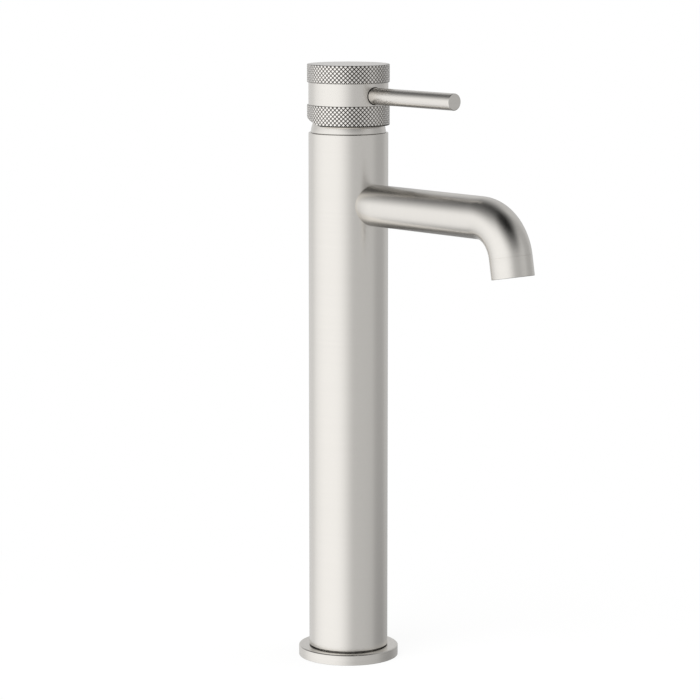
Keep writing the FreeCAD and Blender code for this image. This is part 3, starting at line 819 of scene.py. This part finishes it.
class MIXER_OT_handle(bpy.types.Operator):
    """Knurls, turns and hollows the handle"""
    bl_idname = "mixer.handle"
    bl_label = "Knurled handle"

    def execute(self, context):
        handle, body = context.scene.mixer.handle, context.scene.mixer.body
        foot = handle.band_radius - handle.groove_depth
        over_tip = foot + 1.05 * handle.groove_depth
        # Painted shade in the knurling's grooves, and a painted highlight on its diamonds and top.
        grooves = knurled_tint(foot, over_tip, low("handle_shell").z, high("handle_shell").z)
        material = satin_nickel("handle_satin", "Z", brushing=0.2, tint=grooves)
        bar = knurled_bar(self.knurl_sizes(handle), material)
        blank = carved(self.blank(handle, body), [bar], "INTERSECT")
        shell = carved(blank, self.cuts(handle, body))
        placed("knurled_handle", shell, material, "handle", "handle_shell")
        return {"FINISHED"}

    def knurl_sizes(self, handle):
        """The knurling's sizes. Its rows are even in number and reach past both ends of the handle."""
        foot = handle.band_radius - handle.groove_depth
        row = math.pi * foot / handle.diamonds
        tall = high("handle_shell").z - low("handle_shell").z
        spare_rows = 3
        return {"Foot radius": foot, "Depth": handle.groove_depth, "Flat share": handle.flat_share,
                "Middle height": low("handle_shell").z + tall / 2 - handle.row_shift,
                "Diamonds": handle.diamonds, "Rows": 2 * math.ceil((tall / row + spare_rows) / 2)}

    def blank(self, handle, body):
        """The handle as turned, before it is knurled and hollowed."""
        bottom, top = low("handle_shell").z, high("handle_shell").z
        step_low = bottom + handle.low_band
        step_high = step_low + handle.middle
        band, drum, chamfer = handle.band_radius, handle.drum_radius, handle.band_chamfer
        outline = [(0, bottom), (band - chamfer, bottom), (band, bottom + chamfer)]
        outline += [(band, step_low - chamfer), (band - chamfer, step_low), (drum, step_low)]
        outline += [(drum, step_high), (band - chamfer, step_high), (band, step_high + chamfer)]
        outline += [(band, top - chamfer), (band - chamfer, top), (0, top)]
        return turned(outline, body.facets)

    def cuts(self, handle, body):
        """What is taken out: the relief, room for the neck, the hollow, the socket and four bores."""
        bottom, top = low("handle_shell").z, high("handle_shell").z
        reach = 2 * handle.band_radius
        lever_z = high("lever_pin").z - handle.lever_radius
        rise = (reach + handle.relief_start) * math.tan(handle.relief)
        relief = prism(((-handle.relief_start, bottom), (-handle.relief_start - reach, bottom - MM),
                        (reach, bottom - MM), (reach, bottom + rise)), reach)
        ball = body.dome_radius + handle.dome_room
        turns = [math.pi * step / BALL_STEPS - math.pi / 2 for step in range(BALL_STEPS + 1)]
        half_circle = [(ball * math.cos(turn), PIVOT.z + ball * math.sin(turn)) for turn in turns]
        room = turned(half_circle, body.facets)
        outer, ceiling = handle.drum_radius - handle.wall, top - handle.lid
        pocket = turned([(handle.boss_radius, PIVOT.z), (outer, PIVOT.z), (outer, ceiling),
                         (handle.boss_radius, ceiling)], body.facets)
        half = handle.stem_socket / 2
        socket_top = high("cartridge_stem").z + 6 * FIT
        socket = prism(((-half, PIVOT.z), (half, PIVOT.z), (half, socket_top), (-half, socket_top)), half)
        mid = (handle.boss_radius + outer) / 2
        return [relief, room, pocket, socket,
                tipped(rod(handle.lever_radius + handle.lever_gap, handle.lever_seat, reach), lever_z),
                tipped(rod(handle.thread_radius + FIT, 0, handle.lever_seat + FIT), lever_z),
                tipped(rod(SET_SCREW_RADIUS + FIT, 0, mid), lever_z, -90),
                tipped(rod(handle.plug_radius + FIT, mid, reach), lever_z, -90)]


class MIXER_OT_lever(bpy.types.Operator):
    """Turns the thin lever"""
    bl_idname = "mixer.lever"
    bl_label = "Lever"

    def execute(self, context):
        handle = context.scene.mixer.handle
        radius, tip = handle.lever_radius, -low("lever_pin").y
        outline = rounded((
            (0, -high("lever_pin").y, 0), (handle.thread_radius, -high("lever_pin").y, 0),
            (handle.thread_radius, handle.lever_seat, 0), (radius, handle.lever_seat, 0),
            (radius, tip, handle.lever_rounding), (0, tip, 0)))
        lever = tipped(turned(outline, BAR_FACETS), high("lever_pin").z - radius)
        shade = root_shade(handle.drum_radius, reach=16 * MM, amount=0.25)
        satin = satin_nickel("lever_satin", "Y", brushing=0.3, tint=shade)
        placed("lever_rod", lever, satin, "handle", "lever_pin")
        return {"FINISHED"}


class MIXER_OT_inner_pieces(bpy.types.Operator):
    """Gives every piece inside, and the plug behind the handle, its own finish"""
    bl_idname = "mixer.inner_pieces"
    bl_label = "Inner pieces"

    def execute(self, context):
        finish = context.scene.mixer.finish
        groups = (
            (dulled_metal("raw_brass", finish.brass, finish.brass_shade, 0.28),
             ("inlet_block", "valve_block", "spout_root_bush", "spout_nipple", "cartridge_nut")),
            (dulled_metal("copper_tube", finish.copper, finish.copper_shade, 0.24),
             ("hot_feed_tube", "cold_feed_tube")),
            (dulled_metal("plain_steel", finish.steel, finish.steel_shade, 0.30),
             ("pivot_pin", "cartridge_stem", "handle_grub_screw", "aerator_screens")),
            (seal_rubber("seal_rubber"),
             ("base_gasket", "inlet_block_o_ring", "feed_tube_o_rings", "spout_nipple_o_rings",
              "aerator_washer", "cartridge_base_seals")),
            (moulded_plastic("cartridge_plastic", finish.body_plastic),
             ("cartridge_housing", "cartridge_base_plate", "disc_carrier")),
            (moulded_plastic("turret_plastic", finish.turret_plastic), ("cartridge_turret",)),
            (moulded_plastic("aerator_plastic", finish.spray_plastic, 0.5), ("aerator_insert",)),
            (lapped_ceramic("lapped_ceramic"), ("fixed_ceramic_disc", "moving_ceramic_disc")),
            (satin_nickel("plug_satin", "Y"), ("screw_hole_plug",)))
        for material, nodes in groups:
            for node in nodes:
                data = frame["nodes"][node].data
                data.materials.clear()
                data.materials.append(material)
        return {"FINISHED"}


def way_to(bearing, height):
    """The direction of a bearing, which turns from -Y towards +X, and of an angle over the floor."""
    return Vector((math.sin(bearing) * math.cos(height), -math.cos(bearing) * math.cos(height),
                   math.sin(height)))


class MIXER_OT_stage(bpy.types.Operator):
    """Sets up the floor, the light and the camera"""
    bl_idname = "mixer.stage"
    bl_label = "Stage"
    floor_size = 60.0
    shadow_reach = 0.35
    shadow_depth = 0.14
    # Name, turn from the softbox, height in degrees, and power in watts.
    lamps = (("key_lamp", 20, 50, 9.0), ("fill_lamp", 150, 60, 3.0))
    lamp_size, lamp_distance, lamp_aim = 0.8, 1.2, 0.15

    def execute(self, context):
        studio = context.scene.mixer.studio
        context.scene.view_settings.view_transform = "Standard"
        self.floor()
        self.world(context.scene, studio)
        for name, turn, height, power in self.lamps:
            self.lamp(name, studio.softbox_bearing + math.radians(turn), math.radians(height), power)
        self.camera(context.scene, studio)
        return {"FINISHED"}

    def floor(self):
        """A pale floor that is white to the camera, with a faint shadow round the foot."""
        mesh = bmesh.new()
        bmesh.ops.create_grid(mesh, size=self.floor_size / 2)
        made = finished(mesh, "floor", outward=False)
        material, graph, place = fresh_material("pale_floor")
        side, front, _ = graph.parts_of(place)
        distance = graph.hypotenuse(side, front)
        path = graph.node("ShaderNodeLightPath")
        rays = path + path.pick("Is Glossy Ray") + path.pick("Is Transmission Ray")
        seen = graph.maths("MINIMUM", rays, 1.0)
        white = seen * (1.0 - self.shadow_depth * graph.ease(distance, self.shadow_reach, 0.0))
        pale = graph.node("ShaderNodeBsdfDiffuse", None, {"Color": (0.88, 0.88, 0.87, 1.0)})
        glow = graph.node("ShaderNodeEmission", None, {"Color": (1.0, 1.0, 1.0, 1.0), "Strength": 1.0})
        top = graph.node("ShaderNodeMixShader", None, {0: white, 1: pale, 2: glow})
        below = graph.node("ShaderNodeNewGeometry", None, None, "Backfacing")
        clear = graph.node("ShaderNodeBsdfTransparent")
        both = graph.node("ShaderNodeMixShader", None, {0: below, 1: top, 2: clear})
        graph.node("ShaderNodeOutputMaterial", None, {"Surface": both})
        made.materials.append(material)
        floor = loose_object("floor", made)
        floor.visible_glossy = False

    def world(self, scene, studio):
        """White to the camera. In the metal it is a studio: a wide softbox, plain walls, a dark ceiling."""
        world = bpy.data.worlds.new("studio")
        world.use_nodes = True
        world.cycles.sampling_method = "NONE"
        scene.world = world
        graph = Graph(world.node_tree)
        towards = graph.node("ShaderNodeTexCoord", None, None, "Generated")
        side, front, height = graph.parts_of(towards)
        level = graph.hypotenuse(side, front)

        def facing(bearing):
            """How nearly a direction, seen from above, points to a bearing: 1 if it does, -1 opposite."""
            return (side * math.sin(bearing) - front * math.cos(bearing)) / level

        back_light, flag_shade = 0.145, 0.13
        lean_front, lean_side, lean_across, lean_overhead = 0.33, 0.3, 0.28, 0.8
        softbox = graph.ease(facing(studio.softbox_bearing), start=0.27, end=1.0)
        back = graph.ease(facing(math.radians(178)), start=0.56, end=1.0)
        flag = graph.ease(facing(math.radians(63)), start=0.84, end=1.0)
        walls = studio.horizon + studio.softbox * softbox + back_light * back - flag_shade * flag
        across = graph.maths("ABSOLUTE", side)
        overhead = graph.maths("MAXIMUM", height - 0.7, 0.0)
        rise = (height + lean_front * graph.maths("ABSOLUTE", front) - lean_side * side
                - lean_across * across)
        ceiling = graph.ease(rise - lean_overhead * overhead * front, start=0.33, end=1.13, low_value=1.0,
                             high_value=0.0)
        ground = graph.ease(height * (1.0 + 0.95 * side), start=-0.26, end=-0.75, low_value=1.0,
                            high_value=0.34)
        path = graph.node("ShaderNodeLightPath")
        rays = path.pick("Is Glossy Ray") + path.pick("Is Transmission Ray")
        mirrored = graph.maths("MINIMUM", rays, 1.0)
        lit = graph.node("ShaderNodeMix", {"data_type": "FLOAT"}, {
            0: mirrored, 2: studio.fill, 3: walls * ceiling * ground})
        strength = graph.node("ShaderNodeMix", {"data_type": "FLOAT"}, {0: path, 2: lit, 3: 1.0})
        shown = graph.node("ShaderNodeBackground", None, {
            "Color": (1.0, 1.0, 1.0, 1.0), "Strength": strength})
        graph.node("ShaderNodeOutputWorld", None, {"Surface": shown})

    def lamp(self, name, bearing, height, power):
        """A soft square lamp that lights the floor and what isn't metal."""
        data = bpy.data.lights.new(name, "AREA")
        data.energy = power
        data.size = self.lamp_size
        lamp = loose_object(name, data)
        back = way_to(bearing, height)
        lamp.location = Vector((0, 0, self.lamp_aim)) + self.lamp_distance * back
        lamp.rotation_euler = back.to_track_quat("Z", "Y").to_euler()
        lamp.visible_glossy = False

    def camera(self, scene, studio):
        data = bpy.data.cameras.new("camera")
        data.sensor_width = 36.0
        data.sensor_fit = "HORIZONTAL"
        data.lens = studio.focal_length
        data.shift_x = studio.framing
        camera = loose_object("camera", data)
        bearing, pitch = studio.camera_bearing, studio.camera_pitch
        back = studio.camera_distance * way_to(bearing, pitch)
        camera.location = Vector((0, 0, studio.camera_height)) + back
        camera.rotation_euler = (math.radians(90) - pitch, 0, bearing)
        scene.camera = camera


class MIXER_PT_panel(bpy.types.Panel):
    """Lists the settings and the steps"""
    bl_idname = "MIXER_PT_panel"
    bl_label = "Tall Basin Mixer"
    bl_space_type = "VIEW_3D"
    bl_region_type = "UI"
    bl_category = "Mixer"

    def draw(self, context):
        settings = context.scene.mixer
        for group in ("body", "spout", "handle", "finish", "studio"):
            part = self.layout.box()
            part.label(text=group.capitalize())
            sizes = getattr(settings, group)
            for name in sizes.__annotations__:
                part.prop(sizes, name)
        for step in STEPS:
            self.layout.operator(step.bl_idname)


STEPS = (MIXER_OT_stage, MIXER_OT_flange, MIXER_OT_column, MIXER_OT_neck, MIXER_OT_spout,
         MIXER_OT_spout_tip, MIXER_OT_handle, MIXER_OT_lever, MIXER_OT_inner_pieces)
GROUPS = (MIXER_PG_body, MIXER_PG_spout, MIXER_PG_handle, MIXER_PG_finish, MIXER_PG_studio,
          MIXER_PG_settings)


def register():
    for made in (*GROUPS, *STEPS, MIXER_PT_panel):
        bpy.utils.register_class(made)
    bpy.types.Scene.mixer = PointerProperty(type=MIXER_PG_settings)


def unregister():
    del bpy.types.Scene.mixer
    for made in reversed((*GROUPS, *STEPS, MIXER_PT_panel)):
        bpy.utils.unregister_class(made)


def main():
    register()
    for step in STEPS:
        getattr(bpy.ops.mixer, step.bl_idname.split(".")[1])()


if __name__ == "__main__":
    main()
